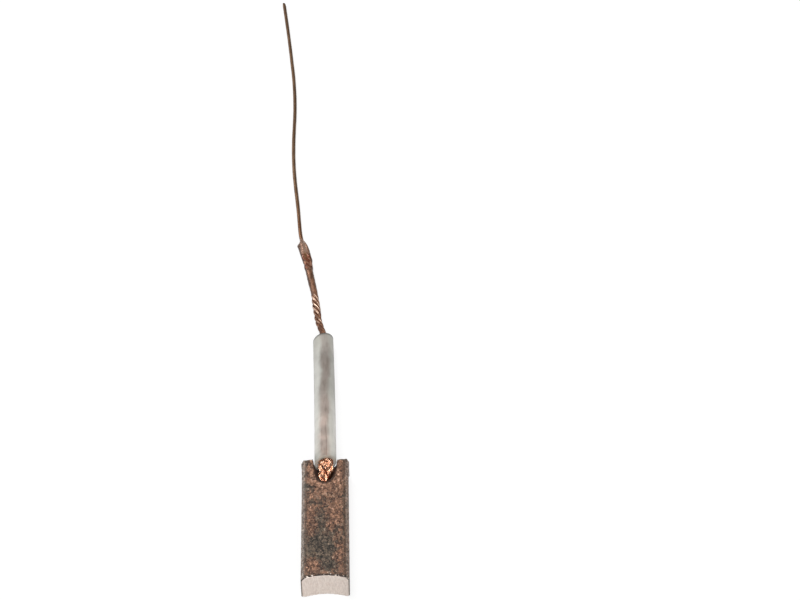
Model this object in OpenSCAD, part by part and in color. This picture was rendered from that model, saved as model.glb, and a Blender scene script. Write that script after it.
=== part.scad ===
// Carbon brush with a moulded-in stranded cable, an insulating sleeve and a brazed solid lead wire.
// It lies on its back face: X runs across, +Y from the contact face towards the lead, +Z out of the
// notched front face. The origin is the middle of the block's back face. Millimetres.

/* [Block] */
// Width of the block
block_w = 6.3; // [5.5:0.1:12.5]
// Thickness of the block, from its back face to its front face
block_t = 4; // [3.6:0.1:8]
// Length of the block, from its rear end to the tips of the contact face
block_l = 20; // [16:0.5:32]
// Chamfer of the two long edges of the front face
front_chamfer = 0.55; // [0.1:0.05:0.9]
// Chamfer of the two long edges of the back face
back_chamfer = 0.35; // [0.1:0.05:0.8]
// Chamfer of the corners and the front edge at the rear end
end_chamfer = 0.3; // [0.1:0.05:0.6]
// Radius that the commutator has worn into the contact face
contact_r = 9; // [6:0.5:40]

/* [Notch] */
// Length of the notch on the front face, from the rear end
notch_l = 4; // [3:0.1:6]
// Depth of the notch at the rear end
notch_depth = 2.35; // [2:0.05:2.9]
// Clearance of the sleeve in the notch, all round
notch_gap = 0.07; // [0.02:0.01:0.3]

/* [Cable] */
// Diameter of the stranded cable
cable_d = 1.05; // [0.8:0.01:1.2]
// How many times wider the loosened strands are, where they enter the sleeve
cable_spread = 1.85; // [1.2:0.05:2]
// Clearance of the cable in the block
hole_gap = 0.02; // [0.01:0.01:0.1]
// Clearance of the spread strands where the hole flares into the notch
flare_gap = 0.08; // [0.04:0.01:0.2]

/* [Sleeve] */
// Length of the insulating sleeve
sleeve_l = 25.4; // [22:0.1:26]
// Wall of the sleeve
sleeve_wall = 0.45; // [0.25:0.05:0.6]
// Clearance of the loosened strands in the sleeve
sleeve_gap = 0.08; // [0.02:0.01:0.3]
// How far the sleeve reaches into the notch
sleeve_seat = 0.7; // [0.3:0.1:1.2]
// How far the middle of the sleeve's mouth lies below the front face
sleeve_drop = 0.1; // [0:0.05:0.4]
// Slant of the two snipped ends, in degrees
sleeve_cut = 12; // [0:1:20]

/* [Joint] */
// Length of the brazed joint
joint_l = 7; // [5:0.1:10]
// Width of the joint where it is flattened most
joint_w = 1.6; // [1.2:0.05:2.2]
// Thickness of the flattened joint
joint_t = 0.8; // [0.6:0.05:1.2]

/* [Lead wire] */
// Diameter of the solid wire
wire_d = 0.57; // [0.4:0.01:0.8]
// Length of the straight end that goes into a terminal
pin_l = 6; // [4:0.5:10]

/* [Hidden] */

// What a cut reaches beyond the solid that it cuts.
over = 1;
// Height of everything that lies on the surface above it.
lay_gap = 0.02;
// Sides of the plain tubes that stand for the cable and the wire.
tube_sides = 8;
// The facetted wire stays this much inside the round end that it runs into.
wire_inset = 0.005;
// Points round a section of the joint, and how square the section is: 1 is round.
joint_sides = 16;
joint_square = 0.7;

// Places that more than one piece shares.
rear_y = block_l / 2;
sleeve_id = cable_d * cable_spread + 2 * sleeve_gap;
sleeve_od = sleeve_id + 2 * sleeve_wall;
notch_r = sleeve_od / 2 + notch_gap;
notch_slope = atan(notch_depth / notch_l);

// The sleeve leans from its mouth in the notch down to the surface.
sleeve_yaw = 0.9;
sleeve_mouth = [0.05, rear_y - sleeve_seat, block_t - sleeve_drop];
sleeve_slope = asin((sleeve_mouth.z - lay_gap) / norm([sleeve_l, sleeve_od / 2]))
    - atan(sleeve_od / 2 / sleeve_l);
sleeve_turn = [-90 - sleeve_slope, 0, sleeve_yaw];
sleeve_along = [-sin(sleeve_yaw) * cos(sleeve_slope), cos(sleeve_yaw) * cos(sleeve_slope),
    -sin(sleeve_slope)];
sleeve_side = [cos(sleeve_yaw), sin(sleeve_yaw), 0];
sleeve_up = cross(sleeve_side, sleeve_along);

// The cable's route. Each point ends with how far the strands are loosened, from 0 to 1.
// In the block and the notch: x, y from the rear end, z from the front face.
held_route = [
    [0, -5.8, -3.05, 0],
    [0, -4, -1.55, 0],
    [0, -2.8, -0.55, 0.66],
    [0, -2.1, -0.13, 0.88],
    [0.03, -1.4, -0.03, 1],
    [0.05, -0.6, -0.07, 1],
];
// In the sleeve: distance from its mouth, then sideways and up from its axis.
sleeved_route = [
    [1.1, 0, 0.02, 0.75],
    [2.3, 0, 0, 0.3],
    [3.7, 0, -0.05, 0],
    [5.7, -0.03, -0.09, 0],
    [7.7, -0.05, -0.13, 0],
    [9.7, -0.06, -0.17, 0],
    [11.7, -0.03, -0.21, 0],
    [13.7, 0.03, -0.25, 0],
    [15.7, 0.1, -0.28, 0],
    [17.7, 0.18, -0.3, 0],
    [19.7, 0.25, -0.32, 0],
    [21.7, 0.29, -0.33, 0],
];
// On the surface: x, y from the sleeve's mouth, z above lying flat.
laid_route = [
    [0.03, 23.6, 0.78, 0],
    [-0.08, 25.3, 0.56, 0],
    [-0.28, 26.8, 0.3, 0],
    [-0.55, 28, 0.09, 0],
    [-0.85, 29.2, 0, 0],
    [-1.12, 30.4, 0, 0],
    [-1.25, 31.7, 0, 0],
    [-1.4, 32.9, 0, 0],
    [-1.53, 34.1, 0, 0],
    [-1.65, 35.3, 0, 0],
    [-1.8, 36.5, 0, 0],
    [-2.02, 37.7, 0, 0],
    [-2.22, 38.9, 0, 0],
    [-2.38, 39.9, 0, 0],
    [-2.55, 40.9, 0, 0],
];
cable_route = concat(
    [for (p = held_route) [p.x, rear_y + p.y, block_t + p.z]],
    [for (p = sleeved_route)
        sleeve_mouth + p.x * sleeve_along + p.y * sleeve_side + p.z * sleeve_up],
    [for (p = laid_route) [p.x, sleeve_mouth.y + p.y, cable_d / 2 + lay_gap + p.z]]
);
cable_radii = [for (p = concat(held_route, sleeved_route, laid_route))
    cable_d / 2 * (1 + (cable_spread - 1) * p[3])];
cable_out = unit(cable_route[1] - cable_route[0]);
cable_end = cable_route[len(cable_route) - 1];

// The joint carries on from the cable's end, turned towards -X.
joint_yaw = 9.8;
joint_dir = [-sin(joint_yaw), cos(joint_yaw), 0];
joint_side = [cos(joint_yaw), sin(joint_yaw), 0];

// Sections of the joint from the cable to the wire. Each is: share of the length, left and right
// share of the width, then how much of the thickness is the cable's and how much is the wire's.
joint_sections = [
    [0, 0.37, 0.38, 1, 0],
    [0.06, 0.4, 0.44, 0.9, 0],
    [0.13, 0.4, 0.46, 0.7, 0],
    [0.24, 0.33, 0.49, 0.5, 0],
    [0.36, 0.4, 0.53, 0.3, 0],
    [0.5, 0.44, 0.53, 0.1, 0],
    [0.66, 0.48, 0.51, 0, 0],
    [0.77, 0.51, 0.47, 0, 0],
    [0.83, 0.53, 0.43, 0, 0.1],
    [0.88, 0.42, 0.38, 0, 0.4],
    [0.94, 0.28, 0.3, 0, 0.8],
    [1, 0.19, 0.19, 0, 1],
];

// The wire's route: x and y from the joint's end. Its straight end is turned by pin_yaw.
wire_start = [cable_end.x, cable_end.y, wire_d / 2 + lay_gap] + joint_l * joint_dir;
wire_route = [
    [0, 0],
    [-0.21, 1.4],
    [-0.41, 3.9],
    [-0.61, 6.9],
    [-0.86, 9.9],
    [-1.14, 13],
    [-1.36, 16],
    [-1.5, 19],
    [-1.56, 22],
    [-1.56, 25],
    [-1.5, 28],
    [-1.46, 31],
    [-1.5, 34.5],
    [-1.63, 38],
    [-1.84, 41.5],
    [-2.14, 45],
    [-2.44, 48.5],
    [-2.76, 52],
    [-3.1, 55.5],
    [-3.16, 56.1],
];
pin_yaw = 5.9;
pin_dir = [-sin(pin_yaw), cos(pin_yaw), 0];
pin_start = wire_start + [wire_route[len(wire_route) - 1].x, wire_route[len(wire_route) - 1].y, 0];

function unit(v) = v / norm(v);

// Direction of a route at point i, half way between its two neighbours.
function heading(route, i) =
    unit(route[min(i + 1, len(route) - 1)] - route[max(i - 1, 0)]);

// A ring of a tube: round the point p, square to the direction along.
function ring(p, along, r) =
    let (side = unit(cross(along, [0, 0, 1])), up = cross(side, along))
    [for (k = [0 : tube_sides - 1])
        let (a = (k + 0.5) * 360 / tube_sides)
        p + r * (cos(a) * side + sin(a) * up)];

// Closed skin over rings that have the same number of points.
module skin(rings) {
    sides = len(rings[0]);
    last = (len(rings) - 1) * sides;
    walls = [for (i = [0 : len(rings) - 2], k = [0 : sides - 1])
        let (a = i * sides + k, b = i * sides + (k + 1) % sides)
        for (face = [[a, b, a + sides], [b, b + sides, a + sides]]) face];
    near_cap = [for (k = [sides - 1 : -1 : 0]) k];
    far_cap = [for (k = [0 : sides - 1]) last + k];
    polyhedron([for (r = rings) each r], concat([near_cap], walls, [far_cap]), convexity = 10);
}

// Tube along a route, with its end rings square to the two directions given.
module tube(route, radii, first, last) {
    top = len(route) - 1;
    skin([for (i = [0 : top])
        ring(route[i], i == 0 ? first : i == top ? last : heading(route, i), radii[i])]);
}

// Section across the block: long edges chamfered more in front than behind.
module block_section() {
    w = block_w / 2;
    polygon([
        [-w + back_chamfer, 0],
        [w - back_chamfer, 0],
        [w, back_chamfer],
        [w, block_t - front_chamfer],
        [w - front_chamfer, block_t],
        [-w + front_chamfer, block_t],
        [-w, block_t - front_chamfer],
        [-w, back_chamfer],
    ]);
}

// Plan of the block: chamfered rear corners and the hollow contact face.
module block_plan() {
    w = block_w / 2;
    difference() {
        polygon([
            [-w, -rear_y],
            [w, -rear_y],
            [w, rear_y - end_chamfer],
            [w - end_chamfer, rear_y],
            [-w + end_chamfer, rear_y],
            [-w, rear_y - end_chamfer],
        ]);
        translate([0, -rear_y - sqrt(contact_r ^ 2 - w ^ 2)])
            circle(r = contact_r, $fn = 180);
    }
}

// Side view of the block: the front edge of the rear end is broken.
module block_side() {
    polygon([
        [-rear_y, 0],
        [rear_y, 0],
        [rear_y, block_t - end_chamfer],
        [rear_y - end_chamfer, block_t],
        [-rear_y, block_t],
    ]);
}

// Round-bottomed notch that runs down to the rear end, open to the front face.
module notch() {
    reach = norm([notch_l, notch_depth]) + 2 * notch_r;
    translate([0, rear_y - notch_l, block_t])
        rotate([-90 - notch_slope, 0, 0])
            translate([0, -notch_r, -notch_r])
                linear_extrude(reach) {
                    circle(r = notch_r, $fn = 96);
                    translate([-notch_r, -2 * block_t])
                        square([2 * notch_r, 2 * block_t]);
                }
}

// Hole that the cable is pressed into, flared where the strands begin to spread.
module cable_hole() {
    hole_r = cable_d / 2 + hole_gap;
    flare_r = cable_radii[2] + flare_gap;
    flare_from = norm(cable_route[1] - cable_route[0]);
    flare_to = norm(cable_route[2] - cable_route[0]);
    translate(cable_route[0])
        rotate([-acos(cable_out.z), 0, 0])
            rotate_extrude($fn = 48)
                polygon([
                    [0, 0],
                    [hole_r, 0],
                    [hole_r, flare_from],
                    [flare_r, flare_to],
                    [flare_r, flare_to + over],
                    [0, flare_to + over],
                ]);
}

// Block of pressed copper and graphite.
module brush_block() {
    color("#6b594e")
        difference() {
            intersection() {
                translate([0, rear_y, 0])
                    rotate([90, 0, 0])
                        linear_extrude(block_l)
                            block_section();
                linear_extrude(block_t)
                    block_plan();
                translate([-block_w / 2, 0, 0])
                    rotate([90, 0, 90])
                        linear_extrude(block_w)
                            block_side();
            }
            notch();
            cable_hole();
        }
}

// Flexible cable of fine copper strands, from inside the block to the joint.
module shunt_cable() {
    color("#b06a48")
        tube(cable_route, cable_radii, cable_out, joint_dir);
}

// Half space above a plane across the sleeve, slanted by sleeve_cut.
module beyond_cut() {
    size = 2 * sleeve_od;
    rotate([0, -sleeve_cut, 0])
        translate([-size / 2, -size / 2, 0])
            cube(size);
}

// Sleeve of milky tubing, snipped at a slant at both ends.
module insulating_sleeve() {
    color("#b3aea6")
        translate(sleeve_mouth)
            rotate(sleeve_turn)
                difference() {
                    translate([0, 0, -over])
                        cylinder(d = sleeve_od, h = sleeve_l + 2 * over, $fn = 96);
                    translate([0, 0, -2 * over])
                        cylinder(d = sleeve_id, h = sleeve_l + 4 * over, $fn = 96);
                    translate([0, 0, sleeve_l])
                        beyond_cut();
                    rotate([0, 180, 0])
                        beyond_cut();
                }
}

// Section of the joint, as a ring of points on the surface.
function joint_ring(section) =
    let (
        thick = cable_d * section[3] + wire_d * section[4]
            + joint_t * (1 - section[3] - section[4]),
        mid = (section[2] - section[1]) / 2 * joint_w,
        half = (section[2] + section[1]) / 2 * joint_w,
        base = [cable_end.x, cable_end.y, lay_gap + thick / 2]
            + section[0] * joint_l * joint_dir + mid * joint_side
    )
    [for (k = [0 : joint_sides - 1])
        let (a = (k + 0.5) * 360 / joint_sides)
        base + half * squared(cos(a)) * joint_side + [0, 0, thick / 2 * squared(sin(a))]];

// Moves a sine or cosine towards 1 or -1, which squares a round section.
function squared(x) = sign(x) * pow(abs(x), joint_square);

// Brazed joint of the flattened cable end and the wire.
module braze_joint() {
    color("#a07d69")
        skin([for (section = joint_sections) joint_ring(section)]);
}

// Solid copper wire with a straight end.
module lead_wire() {
    color("#6e5f52") {
        tube([for (p = wire_route) wire_start + [p.x, p.y, 0]],
            [for (p = wire_route) wire_d / 2 - wire_inset], joint_dir, pin_dir);
        translate(pin_start)
            rotate([-90, 0, pin_yaw])
                cylinder(d = wire_d, h = pin_l, $fn = 48);
    }
}

brush_block();
shunt_cable();
insulating_sleeve();
braze_joint();
lead_wire();
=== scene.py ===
import math

import bmesh
import bpy
import numpy as np
from mathutils import Matrix, Vector, noise


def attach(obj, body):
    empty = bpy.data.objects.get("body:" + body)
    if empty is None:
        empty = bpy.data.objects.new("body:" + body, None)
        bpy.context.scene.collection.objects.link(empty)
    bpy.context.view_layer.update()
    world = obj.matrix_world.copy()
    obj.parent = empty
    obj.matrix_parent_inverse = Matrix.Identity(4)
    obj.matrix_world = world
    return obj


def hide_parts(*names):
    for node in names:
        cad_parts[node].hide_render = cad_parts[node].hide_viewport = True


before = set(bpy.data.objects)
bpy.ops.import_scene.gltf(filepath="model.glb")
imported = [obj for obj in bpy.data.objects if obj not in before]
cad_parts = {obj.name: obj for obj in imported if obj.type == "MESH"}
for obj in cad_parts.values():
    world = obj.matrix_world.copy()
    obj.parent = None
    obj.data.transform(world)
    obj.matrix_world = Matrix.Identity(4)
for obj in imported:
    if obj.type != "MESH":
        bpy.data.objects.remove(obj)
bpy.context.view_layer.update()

scene = bpy.context.scene
MM = 0.001
TURN = 2 * math.pi
Z = np.array([0.0, 0.0, 1.0])

# ---- sizes of the CAD source, in metres
BLOCK_W, BLOCK_L, BLOCK_T = 0.0063, 0.020, 0.004
REAR_Y = BLOCK_L / 2
CONTACT_R = 0.009
NOTCH_L = 0.004
CABLE_D = 0.00105
SLEEVE_L, SLEEVE_ID, SLEEVE_OD = 0.0254, 0.0021025, 0.0030025
SLEEVE_CUT = math.radians(12)
SLEEVE_YAW = math.radians(0.9)
SLEEVE_MOUTH = np.array([0.00005, 0.0093, 0.0039])
LAY_GAP = 0.00002
JOINT_L, JOINT_W, JOINT_T = 0.007, 0.0016, 0.0008
JOINT_YAW = math.radians(9.8)
WIRE_D, PIN_L = 0.00057, 0.006
PIN_YAW = math.radians(5.9)


def heading(yaw):
    """Directions along a level line and to its right, yaw being its turn to the left from +Y."""
    return np.array([-math.sin(yaw), math.cos(yaw), 0]), np.array([math.cos(yaw), math.sin(yaw), 0])


# The sleeve leans from its mouth in the notch down to the surface.
SLEEVE_SLOPE = math.asin((SLEEVE_MOUTH[2] - LAY_GAP) / math.hypot(SLEEVE_L, SLEEVE_OD / 2))
SLEEVE_SLOPE -= math.atan(SLEEVE_OD / 2 / SLEEVE_L)
LEVEL_ALONG, SLEEVE_SIDE = heading(SLEEVE_YAW)
SLEEVE_ALONG = LEVEL_ALONG * math.cos(SLEEVE_SLOPE) - Z * math.sin(SLEEVE_SLOPE)
SLEEVE_UP = np.cross(SLEEVE_SIDE, SLEEVE_ALONG)
JOINT_DIR, JOINT_SIDE = heading(JOINT_YAW)
PIN_DIR = heading(PIN_YAW)[0]


def add_object(name, data):
    made = bpy.data.objects.new(name, data)
    scene.collection.objects.link(made)
    return made


# ---- camera
camera = add_object("camera", bpy.data.cameras.new("camera"))
camera.data.sensor_width = 36
camera.data.lens = 81.72
camera.data.clip_start = 0.01
camera.data.clip_end = 20
camera.location = (0.0057, -0.1486, 0.1951)
camera.rotation_euler = (math.radians(44.66), 0, math.radians(-1.63))
scene.camera = camera


# ---- lines and noise
def unit(v):
    v = np.asarray(v, float)
    return v / np.linalg.norm(v, axis=-1, keepdims=True)


def smoothstep(a, b, x):
    """0 up to a and 1 from b on, with a smooth rise between; a may be the larger one."""
    t = np.clip((np.asarray(x, float) - a) / (b - a), 0, 1)
    return t * t * (3 - 2 * t)


def bump_at(x, centre, half):
    """1 at centre, falling to 0 at half away from it."""
    t = np.clip(1 - np.abs(np.asarray(x, float) - centre) / half, 0, 1)
    return t**2 * (3 - 2 * t)


def wander(rng, n, rough):
    """A smooth random line of n numbers, about -1 to 1, that turns about every `rough` samples."""
    knots = rng.uniform(-1, 1, int(n / rough) + 4)
    x = np.arange(n) / rough
    i = x.astype(int)
    f = x - i
    f = f * f * (3 - 2 * f)
    return knots[i] * (1 - f) + knots[i + 1] * f


def noise_of(points, scale, seed):
    """Smooth noise at points (in metres), with lumps about `scale` metres across."""
    q = points / scale + np.array([13.7, 7.1, 3.3]) * seed
    return np.array([noise.noise(Vector(v)) for v in q])


def distances(line):
    """How far along a line each of its points lies."""
    return np.concatenate([[0], np.cumsum(np.linalg.norm(np.diff(line, axis=0), axis=1))])


def curve_through(points, step):
    """Smooth line through points (Catmull-Rom on chord length), sampled about every step metres.
    Columns after xyz are carried along."""
    p = np.asarray(points, float)
    chord = distances(p[:, :3])
    slopes = np.gradient(p, chord, axis=0)
    n = max(2, int(round(chord[-1] / step)))
    s = np.linspace(0, chord[-1], n + 1)
    i = np.clip(np.searchsorted(chord, s, side="right") - 1, 0, len(p) - 2)
    h = (chord[i + 1] - chord[i])[:, None]
    t = ((s - chord[i])[:, None]) / h
    return (
        (2 * t**3 - 3 * t**2 + 1) * p[i]
        + (t**3 - 2 * t**2 + t) * h * slopes[i]
        + (-2 * t**3 + 3 * t**2) * p[i + 1]
        + (t**3 - t**2) * h * slopes[i + 1]
    )


def around(sides, start=0.0):
    """Angles of the points of a ring, the first one start steps on."""
    return (np.arange(sides) + start) * TURN / sides


def outwards(turn, side, up):
    """Directions from a line to the points of its rings, for a side and an up at each ring."""
    return np.cos(turn)[:, None] * side[..., None, :] + np.sin(turn)[:, None] * up[..., None, :]


# ---- meshes
def new_piece(name, verts, faces):
    mesh = bpy.data.meshes.new(name)
    piece = add_object(name, mesh)
    mesh.from_pydata(np.reshape(verts, (-1, 3)).tolist(), [], faces)
    mesh.update()
    mesh.shade_smooth()
    return piece


def add_attribute(piece, name, values):
    """Gives each vertex of a piece a number that its material reads."""
    values = np.asarray(values, np.float32).ravel()
    piece.data.attributes.new(name, "FLOAT", "POINT").data.foreach_set("value", values)


def vertex_values(mesh, name):
    """The vertices' positions (co) or normals (normal), one row each."""
    values = np.zeros(len(mesh.vertices) * 3, np.float32)
    mesh.vertices.foreach_get(name, values)
    return values.reshape(-1, 3).astype(float)


def ring_walls(rings, sides, first=0, closed=False):
    """Faces between rings of points, from each to the next and, if closed, from the last to the first."""
    faces = []
    for i in range(rings if closed else rings - 1):
        here = first + i * sides
        there = first + (i + 1) % rings * sides
        for k in range(sides):
            k_next = (k + 1) % sides
            faces.append([here + k, here + k_next, there + k_next, there + k])
    return faces


def near_cap(sides, first=0):
    return list(range(first + sides - 1, first - 1, -1))


def far_cap(rings, sides, first=0):
    return list(range(first + (rings - 1) * sides, first + rings * sides))


# ---- the cable's route
# In millimetres: x, y from the rear end, z from the front face; then how far the strands are loosened.
HELD = (
    (0, -5.8, -3.05, 0), (0, -4, -1.55, 0), (0, -2.8, -0.55, 0.66),
    (0, -2.1, -0.13, 0.88), (0.03, -1.4, -0.03, 1), (0.05, -0.6, -0.07, 1),
)
# In millimetres: distance from the sleeve's mouth, sideways and up from its axis; then looseness.
SLEEVED = (
    (1.1, 0, 0.02, 0.75), (2.3, 0, 0, 0.3), (3.7, 0, -0.05, 0),
    (5.7, -0.03, -0.09, 0), (7.7, -0.05, -0.13, 0), (9.7, -0.06, -0.17, 0),
    (11.7, -0.03, -0.21, 0), (13.7, 0.03, -0.25, 0), (15.7, 0.1, -0.28, 0),
    (17.7, 0.18, -0.3, 0), (19.7, 0.25, -0.32, 0), (21.7, 0.29, -0.33, 0),
)
# In millimetres: x, y from the sleeve's mouth, z above lying flat; then looseness.
LAID = (
    (0.03, 23.6, 0.78, 0), (-0.08, 25.3, 0.56, 0), (-0.28, 26.8, 0.3, 0),
    (-0.55, 28, 0.09, 0), (-0.85, 29.2, 0, 0), (-1.12, 30.4, 0, 0),
    (-1.25, 31.7, 0, 0), (-1.4, 32.9, 0, 0), (-1.53, 34.1, 0, 0),
    (-1.65, 35.3, 0, 0), (-1.8, 36.5, 0, 0), (-2.02, 37.7, 0, 0),
    (-2.22, 38.9, 0, 0), (-2.38, 39.9, 0, 0), (-2.55, 40.9, 0, 0),
)
route = np.array(
    [[x * MM, REAR_Y + y * MM, BLOCK_T + z * MM, w] for x, y, z, w in HELD]
    + [
        [*(SLEEVE_MOUTH + (a * SLEEVE_ALONG + b * SLEEVE_SIDE + c * SLEEVE_UP) * MM), w]
        for a, b, c, w in SLEEVED
    ]
    + [[x * MM, SLEEVE_MOUTH[1] + y * MM, CABLE_D / 2 + LAY_GAP + z * MM, w] for x, y, z, w in LAID]
)
cable_end = route[-1, :3]

# Sections of the joint: share of the length, left and right share of the width, the cable's and the
# wire's share of the thickness.
JOINT_SECTIONS = (
    (0, 0.37, 0.38, 1, 0),
    (0.06, 0.4, 0.44, 0.9, 0),
    (0.13, 0.4, 0.46, 0.7, 0),
    (0.24, 0.33, 0.49, 0.5, 0),
    (0.36, 0.4, 0.53, 0.3, 0),
    (0.5, 0.44, 0.53, 0.1, 0),
    (0.66, 0.48, 0.51, 0, 0),
    (0.77, 0.51, 0.47, 0, 0),
    (0.83, 0.53, 0.43, 0, 0.1),
    (0.88, 0.42, 0.38, 0, 0.4),
    (0.94, 0.28, 0.3, 0, 0.8),
    (1, 0.19, 0.19, 0, 1),
)


def joint_section(t):
    """Left and right reach and thickness of the joint at the shares t of its length, in metres."""
    shares, *columns = np.transpose(JOINT_SECTIONS)
    left, right, cable_share, wire_share = (np.interp(t, shares, column) for column in columns)
    thick = CABLE_D * cable_share + WIRE_D * wire_share + JOINT_T * (1 - cable_share - wire_share)
    return left * JOINT_W, right * JOINT_W, thick


def braze_front(u):
    """Share of the joint's length where the braze begins to cover the strands, u across it."""
    return 0.5 - 0.16 * np.abs(u) ** 1.5 + 0.02 * np.sin(9 * u)


# ---- the cable's middle line and girth
LOOSENED = 1.95  # times the cable's diameter, where the strands are loosened most
IN_JOINT = 0.52  # share of the joint in which the strands still show
CABLE_STEP = 0.00028


def cable_girth(y):
    """The cable's thickness along it, as a share of its diameter: the swells and waists of its lay."""
    in_notch = 0.12 * smoothstep(0.0072, 0.0082, y) * smoothstep(0.0108, 0.0098, y)
    in_sleeve = 0.24 * smoothstep(0.011, 0.013, y) * smoothstep(0.0345, 0.031, y)
    swell = 0.14 * bump_at(y, 0.0424, 0.003)
    waist = 0.06 * bump_at(y, 0.0376, 0.002)
    under_braze = 0.12 * smoothstep(0.045, 0.0485, y)
    return 1 + in_sleeve + swell - waist + under_braze + in_notch


joint_points = [[*(cable_end + t * JOINT_L * JOINT_DIR), 0] for t in (0.17, 0.34, IN_JOINT)]
sampled = curve_through(np.vstack([route, joint_points]), CABLE_STEP)
straight_line = sampled[:, :3]
loose = np.clip(sampled[:, 3], 0, 1)
samples = len(straight_line)
s_along = distances(straight_line)
# Share of the joint's length that each sample lies past the cable's end, and how far it is flattened.
from_end = (straight_line - cable_end) @ JOINT_DIR / JOINT_L
t_joint = np.clip(from_end, 0, 1)
in_joint = smoothstep(-0.12, 0.12, from_end)
# The joint is flattened: the strands spread sideways and their middle comes down.
flat_left, flat_right, flat_thick = joint_section(t_joint)
cable_path = straight_line + (in_joint * (flat_right - flat_left) / 2)[:, None] * JOINT_SIDE
cable_path[:, 2] += in_joint * (LAY_GAP + flat_thick / 2 - cable_path[:, 2])
cable_side = unit(np.cross(unit(np.gradient(cable_path, axis=0)), Z))
cable_up = np.cross(cable_side, unit(np.gradient(cable_path, axis=0)))
girth = cable_girth(cable_path[:, 1])
wide = girth * (1 - in_joint) + in_joint * (flat_left + flat_right) / CABLE_D
high = girth * (1 - in_joint) + in_joint * flat_thick / CABLE_D * 0.97
full_r = CABLE_D / 2 * (1 + (LOOSENED - 1) * loose)

# ---- stranded cable
BUNDLES = 5  # laid round a core bundle
OUTER_STRANDS, INNER_STRANDS = 10, 4  # of each bundle; the core has only the outer ones
LAY, STRAND_LAY = 0.006, 0.0062  # length of one turn of the bundles and of the strands
STRAND_R = 0.000057
STRAND_SIDES = 5

# The lay is turned a little further inside the sleeve, and the bundles merge just past it.
lay_turn = 0.58 * smoothstep(0.014, 0.03, cable_path[:, 1])
merged = smoothstep(0.031, 0.034, cable_path[:, 1]) * smoothstep(0.0395, 0.037, cable_path[:, 1])
bundle_r = CABLE_D * 0.186 * (1 + 0.62 * loose) * girth * (1 + 0.25 * merged)


def bundle_middle(rng, b):
    """How far the middle of bundle b lies from the cable's, sideways and up."""
    stray = 0.5 * loose * wander(rng, samples, 7) + 0.06 * wander(rng, samples, 16)
    angle = b * TURN / BUNDLES + TURN * s_along / LAY + stray + lay_turn
    reach = (full_r * girth - bundle_r) * (1 - 0.12 * loose * (1 + wander(rng, samples, 6)) / 2)
    if b == BUNDLES:
        reach = 0.25 * loose * full_r * wander(rng, samples, 6)
    return reach * np.cos(angle) * wide / girth, reach * np.sin(angle) * high / girth


def strand_in_bundle(rng, k):
    """How far strand k lies from its bundle's middle, sideways and up."""
    outer = k < OUTER_STRANDS
    place = k * TURN / OUTER_STRANDS if outer else (k + 0.5) * TURN / INNER_STRANDS
    angle = place + TURN * s_along / STRAND_LAY
    angle = angle + 0.7 * loose * wander(rng, samples, 9) + 0.12 * wander(rng, samples, 14)
    reach = bundle_r - STRAND_R
    reach = reach * (1 + 0.05 * wander(rng, samples, 10) + 0.22 * loose * wander(rng, samples, 8))
    if not outer:
        reach = reach * 0.5
    x = reach * np.cos(angle) * (0.6 + 0.4 * wide / girth)
    z = reach * np.sin(angle) * (0.6 + 0.4 * high / girth)
    return x, z


def crushed(x, z):
    """A strand's place in the joint. The strands part a third of the way along it and leave a narrow
    valley, and their ends dip under the braze."""
    part = bump_at(t_joint, 0.36, 0.2) * (from_end > 0)
    x = x + part * 0.00011 * np.tanh(x / 0.00015) * (z > -0.0002)
    z = z - part * 0.0002 * np.exp(-((x / 0.00016) ** 2)) * (z > 0)
    front = braze_front(x / (JOINT_W / 2))
    dip = 1 - 0.3 * smoothstep(front - 0.03, front + 0.07, t_joint)
    return x * dip, z * dip


def make_cable():
    rng = np.random.default_rng(7)
    lines, radii = [], []
    for b in range(BUNDLES + 1):
        middle_x, middle_z = bundle_middle(rng, b)
        for k in range(OUTER_STRANDS if b == BUNDLES else OUTER_STRANDS + INNER_STRANDS):
            own_x, own_z = strand_in_bundle(rng, k)
            x, z = crushed(middle_x + own_x, middle_z + own_z)
            line = cable_path + x[:, None] * cable_side + z[:, None] * cable_up
            line[:, 2] = np.maximum(line[:, 2], 1.1 * STRAND_R)
            lines.append(line)
            radii.append(STRAND_R * rng.uniform(0.93, 1.08) * (1 + 0.25 * loose))
    lines, radii = np.array(lines), np.array(radii)
    along = unit(np.gradient(lines, axis=1))
    side = unit(np.cross(along, cable_up[None]))
    rings = outwards(around(STRAND_SIDES, 0.5), side, np.cross(side, along))
    verts = lines[:, :, None] + radii[:, :, None, None] * rings
    starts = range(0, len(lines) * samples * STRAND_SIDES, samples * STRAND_SIDES)
    faces = [wall for first in starts for wall in ring_walls(samples, STRAND_SIDES, first)]
    for first in starts:
        faces += [near_cap(STRAND_SIDES, first), far_cap(samples, STRAND_SIDES, first)]
    cable = new_piece("cable", verts, faces)
    # How far out each point lies, 1 on the crowns of the bundles, and the joint's two sides, where the
    # material paints shade.
    from_middle = verts - cable_path[None, :, None]
    out_x = (from_middle * cable_side[None, :, None]).sum(-1) / (full_r * wide)[None, :, None]
    out_z = (from_middle * cable_up[None, :, None]).sum(-1) / (full_r * high)[None, :, None]
    add_attribute(cable, "crown", np.hypot(out_x, out_z))
    add_attribute(cable, "edge", smoothstep(0.5, 0.85, np.abs(out_x)) * in_joint[None, :, None])
    return cable


# ---- lead wire
# In millimetres: x and y from the joint's end.
WIRE_ROUTE = (
    (0, 0), (-0.21, 1.4), (-0.41, 3.9), (-0.61, 6.9), (-0.86, 9.9),
    (-1.14, 13), (-1.36, 16), (-1.5, 19), (-1.56, 22), (-1.56, 25),
    (-1.5, 28), (-1.46, 31), (-1.5, 34.5), (-1.63, 38), (-1.84, 41.5),
    (-2.14, 45), (-2.44, 48.5), (-2.76, 52), (-3.1, 55.5), (-3.16, 56.1),
)
WIRE_SIDES = 18
WIRE_STEP = 0.0003
PINCHED = 0.0007  # length of the pinched tip
TIP_BULGE = 0.00008

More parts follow.
